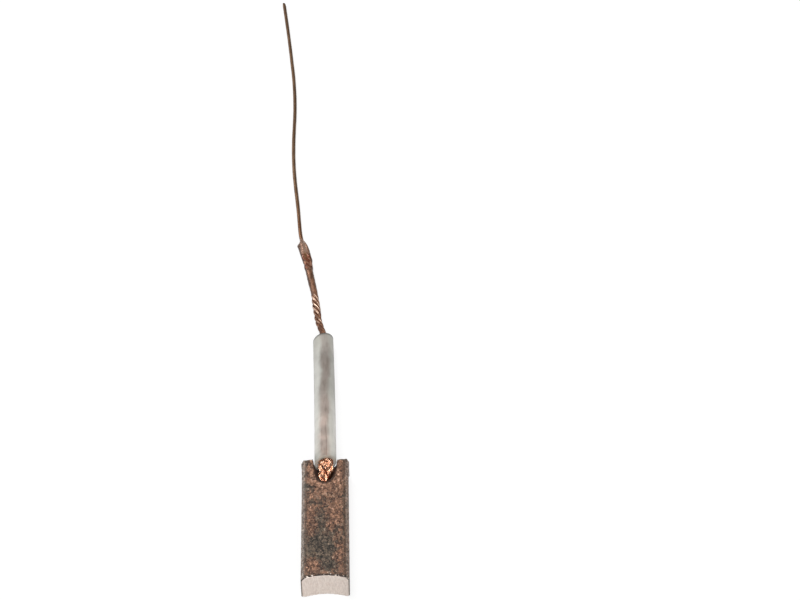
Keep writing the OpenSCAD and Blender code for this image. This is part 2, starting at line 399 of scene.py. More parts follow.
wire_start = np.array([cable_end[0], cable_end[1], WIRE_D / 2 + LAY_GAP]) + JOINT_L * JOINT_DIR
wire_points = [wire_start + [x * MM, y * MM, 0] for x, y in WIRE_ROUTE]
wire_points += [wire_points[-1] + PIN_DIR * PIN_L * f for f in (0.25, 0.5, 0.75, 1)]
# It starts inside the joint, along the joint's own direction.
lead_in = np.array([wire_start - JOINT_DIR * d for d in (0.0012, 0.0009, 0.0006, 0.0003)])
wire_line = np.vstack([lead_in, curve_through(wire_points, WIRE_STEP)])


def make_wire():
    """The drawn wire, a little uneven and out of round, with a tip that the snips pinched from two sides."""
    rings = len(wire_line)
    along = unit(np.gradient(wire_line, axis=0))
    side = unit(np.cross(along, Z))
    up = np.cross(side, along)
    turn = around(WIRE_SIDES)
    rng = np.random.default_rng(11)
    uneven = 1.03 + 0.012 * wander(rng, rings, 5) + 0.01 * wander(rng, rings, 13)
    flat = 0.03 * wander(rng, rings, 11)
    flat_turn = 3 * wander(rng, rings, 30)
    radii = WIRE_D / 2 * (uneven[:, None] + flat[:, None] * np.cos(2 * (turn - flat_turn[:, None])))
    tip = smoothstep(PINCHED, 0, np.linalg.norm(wire_line - wire_line[-1], axis=1))
    radii = radii * (1 - 0.28 * tip[:, None] * np.cos(turn - 0.6) ** 2)
    verts = (wire_line[:, None] + radii[..., None] * outwards(turn, side, up)).reshape(-1, 3)
    verts = np.vstack([verts, wire_line[-1] + along[-1] * TIP_BULGE])
    last = (rings - 1) * WIRE_SIDES
    tip_fan = [[last + k, last + (k + 1) % WIRE_SIDES, len(verts) - 1] for k in range(WIRE_SIDES)]
    return new_piece("lead", verts, ring_walls(rings, WIRE_SIDES) + [near_cap(WIRE_SIDES)] + tip_fan)


# ---- brazed joint
JOINT_RINGS, JOINT_AROUND = 110, 80
WICKED_RINGS = 40
WICKED = 0.98  # how far the braze has wicked down the cable, as a share of the joint's length
JOINT_TOP = 1.03  # where the braze ends on the wire


def squared(x, flatness):
    """Moves a sine or cosine towards 1 or -1, which squares a round section."""
    return np.sign(x) * np.abs(x) ** flatness


def braze_outline(t, cable_r):
    """Left and right reach and thickness of the braze at t, round where it runs down the cable."""
    left, right, thick = joint_section(np.clip(t, 0, 1))
    round_left = smoothstep(0.13, 0.02, t)
    round_right = smoothstep(0.0, -0.03, t)
    round_thick = smoothstep(0.04, -0.04, t)
    left = left * (1 - round_left) + cable_r * round_left
    right = right * (1 - round_right) + cable_r * round_right
    thick = thick * (1 - round_thick) + 2 * cable_r * round_thick
    # The braze ends at the wire in a pinched corner on its left.
    left = left + 0.075 * JOINT_W * np.clip(1 - np.abs(t - 0.855) / 0.05, 0, 1)
    return left, right, thick


def braze_relief(t, u, top):
    """Height on top of the braze: the wire's ridge, a hollow beside it and the swollen front."""
    ridge = np.exp(-(((u + 0.16 + 0.1 * (1 - t)) / 0.2) ** 2)) * smoothstep(0.55, 0.8, t)
    hollow = np.exp(-(((u - 0.35) / 0.22) ** 2)) * bump_at(t, 0.74, 0.2)
    swell = np.exp(-(((t - braze_front(u) - 0.05) / 0.05) ** 2))
    return (0.00014 * ridge - 0.00013 * hollow + 0.00006 * swell) * top


def make_joint():
    """The braze. Among the crushed strands it is only a core; further on it covers them, sooner at both
    sides; and down the cable it fills the hollows between the bundles."""
    wicked_t = np.linspace(-WICKED, -0.01, WICKED_RINGS)
    t = np.concatenate([wicked_t, np.linspace(0.0, JOINT_TOP, JOINT_RINGS)])
    a = around(JOINT_AROUND, 0.5)
    last_free = np.argmax(from_end > 0) - 1
    along_cable = s_along[last_free] + (t - from_end[last_free]) * JOINT_L
    left, right, thick = braze_outline(t, CABLE_D / 2 * np.interp(along_cable, s_along, girth))

    tt = t[:, None]
    mid = ((right - left) / 2)[:, None]
    half = ((right + left) / 2)[:, None]
    rise = LAY_GAP + thick[:, None] / 2
    flatness = 0.74 + 0.26 * smoothstep(0.12, -0.02, tt)
    out_x = half * squared(np.cos(a), flatness)
    out_z = thick[:, None] / 2 * squared(np.sin(a), flatness)
    u = (mid + out_x) / (JOINT_W / 2)
    cover = smoothstep(-0.05, 0.05, tt - braze_front(u))
    wicked = smoothstep(0.03, -0.03, tt) * (0.95 - 0.4 * smoothstep(0.25 - WICKED, -WICKED, tt))
    past_cable = smoothstep(-0.03, 0.03, tt)
    across = mid + out_x * (past_cable * (0.97 + 0.03 * cover) + wicked)
    height = rise + out_z * (past_cable * (0.86 + 0.14 * cover) + wicked)
    height = height + braze_relief(tt, u, np.clip(np.sin(a), 0, 1))

    # Its middle line: straight in the joint, along the cable below it.
    middle = cable_end * [1, 1, 0] + tt * JOINT_L * JOINT_DIR
    for i in range(2):
        middle[:, i] = np.where(t < 0, np.interp(along_cable, s_along, straight_line[:, i]), middle[:, i])
    verts = (middle[:, None] + across[..., None] * JOINT_SIDE + height[..., None] * Z).reshape(-1, 3)
    centres = np.repeat(middle + mid * JOINT_SIDE + rise * Z, JOINT_AROUND, axis=0)
    lumps = 0.000045 * noise_of(verts, 0.0007, 1) + 0.00002 * noise_of(verts, 0.00025, 2)
    lumps = lumps.reshape(len(t), -1) * smoothstep(0.3, 0.5, tt) * (0.4 + 0.6 * np.clip(np.sin(a), -0.3, 1))
    verts = verts + unit(verts - centres + 1e-9) * lumps.reshape(-1, 1)
    verts[:, 2] = np.maximum(verts[:, 2], LAY_GAP / 2)

    # Each wall starts at its second corner, which splits it along its other diagonal.
    faces = [wall[1:] + wall[:1] for wall in ring_walls(len(t), JOINT_AROUND)]
    faces += [near_cap(JOINT_AROUND), far_cap(len(t), JOINT_AROUND)]
    joint = new_piece("joint", verts, faces)
    add_attribute(joint, "along", np.repeat(t, JOINT_AROUND))
    add_attribute(joint, "across", u)
    return joint


# ---- insulating sleeve
SLEEVE_RINGS, SLEEVE_AROUND = 120, 64
LIP = 0.00006  # how far the edges of the two ends are rounded off


def sleeve_skin(stations, squash):
    """Rings of one wall of the sleeve. A station is a share of its length and the radius there."""
    a = around(SLEEVE_AROUND)
    rings = []
    for f, r_here in stations:
        r = r_here * (1 + squash * np.cos(2 * a + 0.6 + 2.5 * f) + 0.004 * np.cos(3 * a - 4 * f))
        x, z = r * np.cos(a), r * np.sin(a)
        along = f * SLEEVE_L + math.tan(SLEEVE_CUT) * x
        bow = 0.00006 * math.sin(math.pi * f)
        sideways = (x + bow)[:, None] * SLEEVE_SIDE
        rings.append(SLEEVE_MOUTH + along[:, None] * SLEEVE_ALONG + sideways + z[:, None] * SLEEVE_UP)
    return rings


def sleeve_stations():
    """The outer wall from the mouth to the far end, and the inner one back, with waves along both."""
    outer_r, inner_r = SLEEVE_OD / 2 * 0.994, SLEEVE_ID / 2
    shares = np.linspace(0, 1, SLEEVE_RINGS)[1:-1]
    waves = 1 + 0.004 * wander(np.random.default_rng(23), SLEEVE_RINGS, 9)
    outer = [(0.0, outer_r - LIP), (0.0012, outer_r - LIP * 0.3), (0.0028, outer_r)]
    outer += [(f, outer_r * wave) for f, wave in zip(shares, waves)]
    outer += [(0.9975, outer_r), (0.999, outer_r - LIP * 0.3), (1.0, outer_r - LIP)]
    inner = [(1.0, inner_r + LIP), (0.9985, inner_r)]
    inner += [(f, inner_r * wave) for f, wave in zip(shares[::-2], waves[::-2])]
    inner += [(0.0015, inner_r), (0.0, inner_r + LIP)]
    return outer, inner


def make_sleeve():
    outer, inner = sleeve_stations()
    verts = np.reshape(sleeve_skin(outer, 0.006) + sleeve_skin(inner, 0.012), (-1, 3))
    verts[:, 2] = np.maximum(verts[:, 2], LAY_GAP / 2)
    rings = len(outer) + len(inner)
    sleeve = new_piece("sleeve", verts, ring_walls(rings, SLEEVE_AROUND, closed=True))
    # How close each point is to either end; only the upper half counts.
    shares = np.array([f for f, r in outer + inner])
    rim = np.clip(1 - np.where(shares < 0.5, shares / 0.012, (1 - shares) / 0.02), 0, 1)
    add_attribute(sleeve, "rim", rim[:, None] * smoothstep(-0.6, 0.3, np.sin(around(SLEEVE_AROUND))))
    add_attribute(sleeve, "wall", np.repeat(np.arange(rings) < len(outer), SLEEVE_AROUND))
    # Sideways from the strands behind the wall, in millimetres, and how far round to the sides.
    from_mouth = verts - SLEEVE_MOUTH
    sideways = from_mouth @ SLEEVE_SIDE
    strand_distance, strand_sideways = np.transpose(SLEEVED)[:2] * MM
    strands = np.interp(from_mouth @ SLEEVE_ALONG, strand_distance, strand_sideways)
    add_attribute(sleeve, "beside", (sideways - strands) / MM)
    add_attribute(sleeve, "flank", smoothstep(0.0009, 0.0015, np.abs(sideways)))
    solid = bmesh.new()
    solid.from_mesh(sleeve.data)
    bmesh.ops.recalc_face_normals(solid, faces=solid.faces)
    solid.to_mesh(sleeve.data)
    solid.free()
    return sleeve


# ---- block, in millimetres
HALF_W, REAR, FRONT, CONTACT = BLOCK_W / 2 / MM, REAR_Y / MM, BLOCK_T / MM, CONTACT_R / MM
AXIS_Y = -REAR - math.sqrt(CONTACT**2 - HALF_W**2)  # the commutator's axis
VOXEL = 0.095


def remeshed_block():
    """The CAD block as an even, fine mesh."""
    block = add_object("block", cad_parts["brush_block"].data.copy())
    block.data.transform(Matrix.Diagonal((1 / MM, 1 / MM, 1 / MM, 1)))
    remesh = block.modifiers.new("remesh", "REMESH")
    remesh.mode = "VOXEL"
    remesh.voxel_size = VOXEL
    remesh.use_smooth_shade = True
    bpy.context.view_layer.update()
    fine = bpy.data.meshes.new_from_object(block.evaluated_get(bpy.context.evaluated_depsgraph_get()))
    block.modifiers.clear()
    block.data = fine
    fine.name = "block"
    return block


def convexity(mesh, co, normals):
    """How far each vertex stands out from its neighbours, spread so that it reaches a little past edges."""
    ends = np.zeros(len(mesh.edges) * 2, np.int32)
    mesh.edges.foreach_get("vertices", ends)
    ends = ends.reshape(-1, 2)
    step = co[ends[:, 1]] - co[ends[:, 0]]
    size = np.linalg.norm(step, axis=1)
    bend = np.zeros(len(co))
    neighbours = np.zeros(len(co))
    for i, sign in ((0, -1), (1, 1)):
        np.add.at(bend, ends[:, i], sign * (normals[ends[:, i]] * step).sum(1) / size)
        np.add.at(neighbours, ends[:, i], 1)
    neighbours = np.maximum(neighbours, 1)
    bend = bend / neighbours
    for _ in range(2):
        spread = np.zeros(len(co))
        np.add.at(spread, ends[:, 0], bend[ends[:, 1]])
        np.add.at(spread, ends[:, 1], bend[ends[:, 0]])
        bend = 0.5 * bend + 0.5 * spread / neighbours
    return bend


def surface_wear(co, bend):
    """How far each vertex moves out along its normal: grain, and chips off the edges."""
    on_contact = (np.hypot(co[:, 0], co[:, 1] - AXIS_Y) < CONTACT + 0.06) & (co[:, 1] < 1 - REAR)
    metres = co * MM
    grain = 0.016 * noise_of(metres, 0.00032, 3) + 0.009 * noise_of(metres, 0.00016, 4)
    chip = np.clip(noise_of(metres, 0.0007, 5) - 0.12, 0, 1)
    chip = chip + 0.6 * np.clip(noise_of(metres, 0.0003, 6) - 0.2, 0, 1)
    edge = np.clip(bend / 0.25, 0, 1)
    return np.where(on_contact, 0.0015, grain) - edge * (0.004 + 0.13 * chip)


def shape_rear_end(co, normals):
    """Gives the rear end its own form, where the source has plain chamfers."""
    # Its front edge and its upright corners are sharper.
    at_edge = smoothstep(REAR - 0.45, REAR - 0.25, co[:, 1])
    at_edge = at_edge * smoothstep(FRONT - 0.45, FRONT - 0.25, co[:, 2])
    at_edge = at_edge * smoothstep(0.2, 0.5, normals[:, 1] * normals[:, 2] * 2)
    co = co + 0.13 * at_edge[:, None] * np.array([0, 0.7, 0.7])
    corner = smoothstep(0.2, 0.5, np.abs(normals[:, 0]) * normals[:, 1] * 2) * (co[:, 1] > REAR - 0.6)
    co = co + 0.12 * corner[:, None] * np.stack([np.sign(co[:, 0]), np.ones(len(co)), np.zeros(len(co))], 1)
    # It was never square: its left horn slants back, and the right one is worn by the notch.
    x = co[:, 0]
    back_off = 0.2 * smoothstep(-1.7, -3.0, x) + 0.16 * bump_at(x, 1.6, 0.6) + 0.03 * np.sin(3 * x) - 0.08
    co[:, 1] -= back_off * smoothstep(REAR - 1.3, REAR - 0.1, co[:, 1])
    return co


def make_block():
    block = remeshed_block()
    co = vertex_values(block.data, "co")
    normals = vertex_values(block.data, "normal")
    bend = convexity(block.data, co, normals)
    co = co + normals * surface_wear(co, bend)[:, None]
    co = shape_rear_end(co, normals)
    co[:, 2] = np.maximum(co[:, 2], 0)
    block.data.vertices.foreach_set("co", (co * MM).astype(np.float32).ravel())
    block.data.update()
    block.data.shade_smooth()
    return block


# ---- materials
def srgb(r, g, b):
    """A colour given as sRGB values from 0 to 255."""
    shares = [c / 255 for c in (r, g, b)]
    return (*(c / 12.92 if c <= 0.04045 else ((c + 0.055) / 1.055) ** 2.4 for c in shares), 1)


class Paint:
    """Node tree of one material, with coordinates in millimetres. Masks run from 0 to 1."""

    def __init__(self, name):
        self.material = bpy.data.materials.new(name)
        self.material.use_nodes = True
        self.tree = self.material.node_tree
        self.shader = self.tree.nodes["Principled BSDF"]
        self.mm = self.scaled(self.node("TexCoord").outputs["Object"], 1 / MM)

    def node(self, kind, **values):
        made = self.tree.nodes.new("ShaderNode" + kind)
        for key, value in values.items():
            setattr(made, key, value)
        return made

    def put(self, socket, value):
        """Links a node's output to a socket, or sets its value. A colour of three numbers is sRGB."""
        if isinstance(value, bpy.types.NodeSocket):
            self.tree.links.new(value, socket)
        elif socket.type == "RGBA" and len(value) == 3:
            socket.default_value = srgb(*value)
        else:
            socket.default_value = value

    def vector(self, operation, *values):
        made = self.node("VectorMath", operation=operation)
        for socket, value in zip(made.inputs, values):
            self.put(socket, value)
        return made.outputs["Value" if operation == "LENGTH" else "Vector"]

    def scaled(self, vector, factor):
        made = self.node("VectorMath", operation="SCALE")
        self.put(made.inputs[0], vector)
        made.inputs["Scale"].default_value = factor
        return made.outputs[0]

    def math(self, operation, a, b=0.0, clamp=False):
        made = self.node("Math", operation=operation, use_clamp=clamp)
        self.put(made.inputs[0], a)
        self.put(made.inputs[1], b)
        return made.outputs[0]

    def times(self, value, *others):
        for other in others:
            value = self.math("MULTIPLY", value, other)
        return value

    def plus(self, value, *others):
        for other in others:
            value = self.math("ADD", value, other)
        return value

    def steps(self, value, low, high, to_low=0.0, to_high=1.0, kind="SMOOTHSTEP"):
        """Goes from to_low to to_high while value goes from low to high, which may be the lower one."""
        made = self.node("MapRange", interpolation_type=kind)
        self.put(made.inputs["Value"], value)
        for name, number in (("From Min", low), ("From Max", high), ("To Min", to_low), ("To Max", to_high)):
            self.put(made.inputs[name], number)
        return made.outputs["Result"]

    def split(self, vector=None):
        made = self.node("SeparateXYZ")
        self.put(made.inputs[0], vector or self.mm)
        return made.outputs

    def attribute(self, name):
        return self.node("Attribute", attribute_name=name).outputs["Fac"]

    def stretched(self, stretch, vector=None):
        made = self.node("Mapping")
        self.put(made.inputs["Vector"], vector or self.mm)
        made.inputs["Scale"].default_value = stretch
        return made.outputs[0]

    def noise(self, size, detail=4, rough=0.55, vector=None, colour=False):
        made = self.node("TexNoise")
        self.put(made.inputs["Vector"], vector or self.mm)
        made.inputs["Scale"].default_value = 1 / size
        made.inputs["Detail"].default_value = detail
        made.inputs["Roughness"].default_value = rough
        return made.outputs["Color" if colour else "Fac"]

    def cells(self, size, vector):
        """Three random numbers for each cell of about that size."""
        made = self.node("TexVoronoi")
        self.put(made.inputs["Vector"], vector)
        made.inputs["Scale"].default_value = 1 / size
        return self.split(made.outputs["Color"])

    def wobbled(self, size, amount):
        """Coordinates pushed about by noise, for ragged borders."""
        push = self.vector("SUBTRACT", self.noise(size, 3, colour=True), (0.5, 0.5, 0.5))
        return self.vector("ADD", self.mm, self.scaled(push, amount))

    def near(self, centre, radius, stretch=(1, 1, 1), vector=None):
        """1 at a place on the surface, falling to 0 at radius away from it."""
        offset = self.vector("SUBTRACT", vector or self.mm, centre)
        away = self.vector("LENGTH", self.vector("MULTIPLY", offset, stretch))
        return self.steps(away, radius, 0)

    def distance(self, stretch, offset):
        """Length of the coordinates after they are stretched and moved."""
        return self.vector("LENGTH", self.vector("MULTIPLY_ADD", self.mm, stretch, offset))

    def mix(self, share, a, b):
        made = self.node("Mix", data_type="RGBA")
        self.put(made.inputs["Factor"], share)
        self.put(made.inputs[6], a)
        self.put(made.inputs[7], b)
        return made.outputs[2]

    def ramp(self, value, stops):
        made = self.node("ValToRGB")
        self.put(made.inputs[0], value)
        elements = made.color_ramp.elements
        while len(elements) < len(stops):
            elements.new(0.5)
        for element, (position, colour) in zip(elements, stops):
            element.position = position
            element.color = srgb(*colour)
        return made.outputs[0]

    def bump(self, height, distance_mm, strength=1.0):
        made = self.node("Bump")
        made.inputs["Strength"].default_value = strength
        made.inputs["Distance"].default_value = distance_mm * MM
        self.put(made.inputs["Height"], height)
        return made.outputs[0]

    def set(self, **values):
        for name, value in values.items():
            self.put(self.shader.inputs[name.replace("_", " ")], value)

    def on(self, piece):
        piece.data.materials.clear()
        piece.data.materials.append(self.material)


# ---- materials: copper and graphite
NOTCH_START = REAR - NOTCH_L / MM
NOTCH_R = 1.571  # of its round bottom, in millimetres
NOTCH_RISE = 0.506  # how fast it deepens towards the rear
# Places on the front face that differ: x, y, radius, stretch across and along, how much lighter and
# how much warmer.
BLOTCHES = (
    (0, 7, 4.6, 0.8, 1, 0.17, 0.5),
    (-0.6, -1.0, 1.9, 1.2, 0.5, -0.1, -0.4),
    (-0.4, -4.8, 2.9, 0.85, 0.9, -0.15, -0.8),
    (0.6, -7.4, 1.6, 0.9, 1, -0.09, -0.5),
    (-1.7, -7.6, 1.7, 0.9, 1, 0.03, 0.6),
    (1.3, 0.9, 1.8, 1.1, 0.6, 0.08, 0.7),
    (2.1, -5.6, 1.9, 1.3, 0.6, 0.05, 0.5),
    (-1.9, -0.6, 1.8, 1.5, 0.6, 0.06, 0.6),
    (-2.4, 5.4, 1.3, 1, 0.8, -0.16, -0.7),
)
TONES = (0.1, 0.38, 0.62, 0.82, 1)
GREYS = ((39, 35, 30), (78, 69, 59), (110, 96, 81), (151, 132, 116), (204, 186, 164))
BROWNS = ((46, 30, 24), (96, 69, 55), (138, 101, 79), (184, 138, 111), (234, 194, 168))


def mottled(paint, flakes, crumb, specks, grit):
    """Colour of the pressed surface: grey or brown by its hue, light or dark by its tone."""
    ragged = paint.wobbled(0.9, 1.6)
    hue = paint.steps(paint.noise(0.7, 4, 0.6, vector=ragged), 0.38, 0.62, 0, 0.3)
    hue = paint.plus(hue, paint.steps(flakes[2], 0, 1, 0.18, 0.6))
    tone = paint.plus(paint.times(paint.steps(paint.noise(0.9, 4, 0.65), 0.34, 0.66), 0.16), -0.2)
    for value, share in ((flakes[0], 0.48), (crumb, 0.36), (paint.steps(specks, 0.3, 0.7), 0.24)):
        tone = paint.plus(tone, paint.times(value, share))
    for at_x, at_y, radius, across, along, lighter, warmer in BLOTCHES:
        blotch = paint.near((at_x, at_y, FRONT), radius, (across, along, 0.3), ragged)
        tone = paint.plus(tone, paint.times(blotch, lighter))
        hue = paint.plus(hue, paint.times(blotch, warmer))
    grey = paint.ramp(tone, [(at, shade) for at, shade in zip(TONES, GREYS)])
    brown = paint.ramp(tone, [(at, shade) for at, shade in zip(TONES, BROWNS)])
    colour = paint.mix(paint.steps(hue, 0.1, 0.75), grey, brown)
    # Pale specks, partly copper flecks and partly painted glints, then dark pits.
    colour = paint.mix(paint.steps(grit, 0.6, 0.74, 0, 0.7), colour, (206, 170, 146))
    return paint.mix(paint.steps(grit, 0.42, 0.28, 0, 0.8), colour, (38, 33, 30))


def dark_notch(paint, colour, inside, y, crumb, specks):
    """The notch is painted dark beside the cable as its shade, and a band of painted shade follows its edge.
    """
    notch_shade_colour = paint.mix(crumb, (44, 29, 22), (132, 88, 68))
    colour = paint.mix(paint.times(inside, 0.88), colour, notch_shade_colour)
    to_notch = paint.distance((1, NOTCH_RISE, 0), (0, -NOTCH_RISE * NOTCH_START - NOTCH_R, 0))
    to_notch = paint.plus(to_notch, paint.steps(specks, 0.3, 0.7, -0.1, 0.1))
    # Painted shade along the notch's edge on the front face.
    lip_shade = paint.steps(to_notch, NOTCH_R + 0.24, NOTCH_R + 0.06)
    lip_shade = paint.times(lip_shade, paint.steps(y, REAR - 1.4, REAR - 2.4, 0.35, 0.85))
    return paint.mix(lip_shade, colour, (44, 30, 23))


def rubbed_and_lit_sides(paint, colour, x, off_middle, crumb):
    """The long chamfers and the sides rub against the holder: greyer and paler, and painted paler still on
    the left as painted light from that side. A darker line runs just inside each chamfer.
    """
    rubbed_and_lit = paint.steps(off_middle, HALF_W - 0.53, HALF_W - 0.3)
    rubbed_and_lit = paint.times(rubbed_and_lit, paint.steps(paint.noise(0.35, 4), 0.3, 0.6, 0.35, 0.85))
    # Painted light: the paleness is stronger on the left than on the right.
    rubbed_and_lit = paint.times(rubbed_and_lit, paint.steps(x, -3, 3, 1, 0.5, kind="LINEAR"))
    colour = paint.mix(rubbed_and_lit, colour, paint.mix(crumb, (72, 60, 52), (208, 196, 184)))
    # A darker line just inside each chamfer.
    dark_line = paint.steps(off_middle, HALF_W - 0.85, HALF_W - 0.65)
    dark_line = paint.times(dark_line, paint.steps(off_middle, HALF_W - 0.43, HALF_W - 0.57))
    return paint.mix(paint.times(dark_line, 0.55), colour, (74, 66, 57))


def ground_face(paint, colour, off_middle, specks):
    """The contact face is ground, with fine lines, and its pale colour is partly the ground surface and
    partly a painted sheen; it has a dark lip with bright chips.
    """
    from_axis = paint.distance((1, 1, 0), (0, -AXIS_Y, 0))
    lip = paint.plus(from_axis, paint.steps(specks, 0.3, 0.7, -0.08, 0.08))
    dark_lip = paint.steps(lip, CONTACT + 0.05, CONTACT + 0.08)
    dark_lip = paint.times(dark_lip, paint.steps(lip, CONTACT + 0.45, CONTACT + 0.22))
    colour = paint.mix(paint.times(dark_lip, 0.85), colour, (42, 35, 30))
    chips = paint.steps(lip, CONTACT + 0.4, CONTACT + 0.28)
    chips = paint.times(chips, paint.steps(paint.noise(0.34, 1), 0.58, 0.64))
    colour = paint.mix(chips, colour, (226, 212, 200))
    lines = paint.noise(0.05, 3, 0.6, vector=paint.stretched((1, 1, 0.06)))
    # The ground face's colour, with its painted sheen.
    pale = paint.mix(paint.steps(lines, 0.35, 0.65), (212, 197, 187), (240, 227, 217))
    pale = paint.mix(paint.steps(paint.noise(0.4, 4), 0.5, 0.7, 0, 0.5), pale, (204, 182, 168))
    pale = paint.mix(paint.steps(off_middle, HALF_W - 0.23, HALF_W - 0.09, 0, 0.85), pale, (88, 76, 67))
    return paint.mix(paint.steps(from_axis, CONTACT + 0.09, CONTACT + 0.05), colour, pale)


def copper_graphite(paint):
    x, y, z = paint.split()
    off_middle = paint.math("ABSOLUTE", x)
    streaked = paint.stretched((1, 0.7, 1), paint.wobbled(0.3, 0.35))
    flakes = paint.cells(0.26, streaked)
    crumb = paint.cells(0.13, streaked)[1]
    specks = paint.noise(0.3, 3, 0.7)
    grit = paint.noise(0.14, 2, 0.6)
    # The notch's inside below the front face, which dark_notch paints dark as its shade; it is also rougher.
    inside = paint.times(
        paint.steps(z, FRONT - 0.02, FRONT - 0.25),
        paint.steps(off_middle, HALF_W - 0.75, HALF_W - 1.25),
        paint.steps(y, NOTCH_START - 0.4, NOTCH_START + 0.4),
    )
    colour = mottled(paint, flakes, crumb, specks, grit)
    colour = dark_notch(paint, colour, inside, y, crumb, specks)
    colour = rubbed_and_lit_sides(paint, colour, x, off_middle, crumb)
    colour = ground_face(paint, colour, off_middle, specks)
    shine = paint.steps(flakes[0], 0.2, 0.9, 0.6, 0.34)
    paint.set(
        Base_Color=colour,
        Metallic=paint.steps(flakes[0], 0.6, 0.95, 0.1, 0.45),
        Specular_IOR_Level=0.35,
        Roughness=paint.math("ADD", shine, paint.times(inside, 0.5), clamp=True),
        Normal=paint.bump(paint.mix(0.5, specks, grit), 0.06),
    )


# ---- copper strands
# Painted highlights on crests of the laid cable: place and radius, in millimetres.
CREST_HIGHLIGHTS = (
    ((-1.7, 43.9, 1.0), 1.25),
    ((-1.4, 42.15, 1.0), 1.5),
    ((-1.35, 40.85, 1.0), 0.62),
    ((-0.85, 39.2, 1.0), 0.75),
    ((0.25, 36.1, 0.9), 0.8),
    ((0.4, 34.9, 0.9), 0.8),
)


def copper_strand(paint):
    """Bright untarnished copper in the notch, where the deeper strands are painted dark red as their shade,
    and browned where the cable lies free, with painted highlights on a few crests.
    """
    y = paint.split()[1]
    crown = paint.attribute("crown")
    joint_side_shade = paint.attribute("edge")
    in_notch = paint.steps(y, REAR + 2.5, REAR - 0.8)
    laid = paint.steps(y, 30, 35)
    tarnish = paint.noise(0.5, 4, 0.6)
    browns = [(0, (86, 50, 33)), (0.6, (120, 77, 53)), (1, (160, 112, 82))]
    brown = paint.ramp(paint.steps(tarnish, 0.3, 0.7), browns)
    # Painted shade: in the notch the deeper strands take a saturated red, the colour of the shade between
    # them.
    brown = paint.mix(in_notch, brown, (176, 74, 44))
    # Painted shade on the two sides of the flattened joint.
    brown = paint.mix(paint.times(joint_side_shade, 0.75), brown, (66, 45, 36))
    bright = paint.mix(paint.steps(tarnish, 0.35, 0.7), (246, 178, 138), (255, 218, 190))
    # Near-white painted highlight colour for the crests of the laid cable.
    bright = paint.mix(laid, bright, (255, 222, 196))
    crest = paint.steps(crown, 0.86, 0.97)
    # Crests are painted brighter here and there, partly as wear and partly as painted highlights, and fully
    # at the listed places.
    rubbed_and_lit = paint.times(crest, paint.steps(paint.noise(0.8, 2, 0.5), 0.45, 0.65, 0.04, 0.2))
    for centre, radius in CREST_HIGHLIGHTS:
        rubbed_and_lit = paint.math("MAXIMUM", rubbed_and_lit, paint.times(crest, paint.near(centre, radius)))
    # In the notch the outer strands are bright copper and the deeper ones fall to the red painted shade.
    clean_and_lit = paint.times(in_notch, paint.steps(crown, 0.3, 0.76, 0.16, 1))
    clean_and_lit = paint.math("MAXIMUM", clean_and_lit, paint.times(rubbed_and_lit, paint.steps(joint_side_shade, 0, 1, 1, 0.1)))
    paint.set(
        Base_Color=paint.mix(clean_and_lit, brown, bright),
        Metallic=paint.math("SUBTRACT", paint.steps(clean_and_lit, 0, 1, 0.6, 1), paint.times(laid, 0.25)),
        Roughness=paint.plus(paint.steps(clean_and_lit, 0.2, 0.9, 0.42, 0.15), paint.steps(y, 20, 30, 0, 0.12)),
    )


# ---- milky tubing
def strands_behind(paint, milk, band, far, cloud, beside, y):
    """The strands show through the wall as a soft band, pinker towards the block, with darker streaks."""
    pink = paint.mix(paint.steps(cloud, 0.4, 0.6), (190, 168, 157), (214, 184, 172))
    pink = paint.mix(far, pink, (164, 153, 146))
    show = paint.times(band, paint.steps(y, 34, 29, 0.66, 0.78), paint.steps(y, 26, 22, 1, 0.86))
    milk = paint.mix(show, milk, pink)
    streaks = paint.noise(0.34, 2, vector=paint.stretched((1, 0.09, 1)))
    strand = paint.times(band, paint.steps(streaks, 0.5, 0.68))
    milk = paint.mix(paint.times(strand, 0.3), milk, (122, 110, 100))
    blots = paint.noise(0.9, 1, vector=paint.stretched((1, 0.45, 1)))
    dark_spot = paint.times(band, paint.steps(blots, 0.56, 0.72))
    milk = paint.mix(paint.times(dark_spot, 0.22), milk, (112, 102, 92))
    off_seam = paint.math("ABSOLUTE", paint.math("SUBTRACT", beside, 0.2))
    seam = paint.times(paint.steps(off_seam, 0.12, 0.02), paint.steps(y, 15.5, 13.5))
    return paint.mix(paint.times(seam, 0.35), milk, (118, 96, 88))


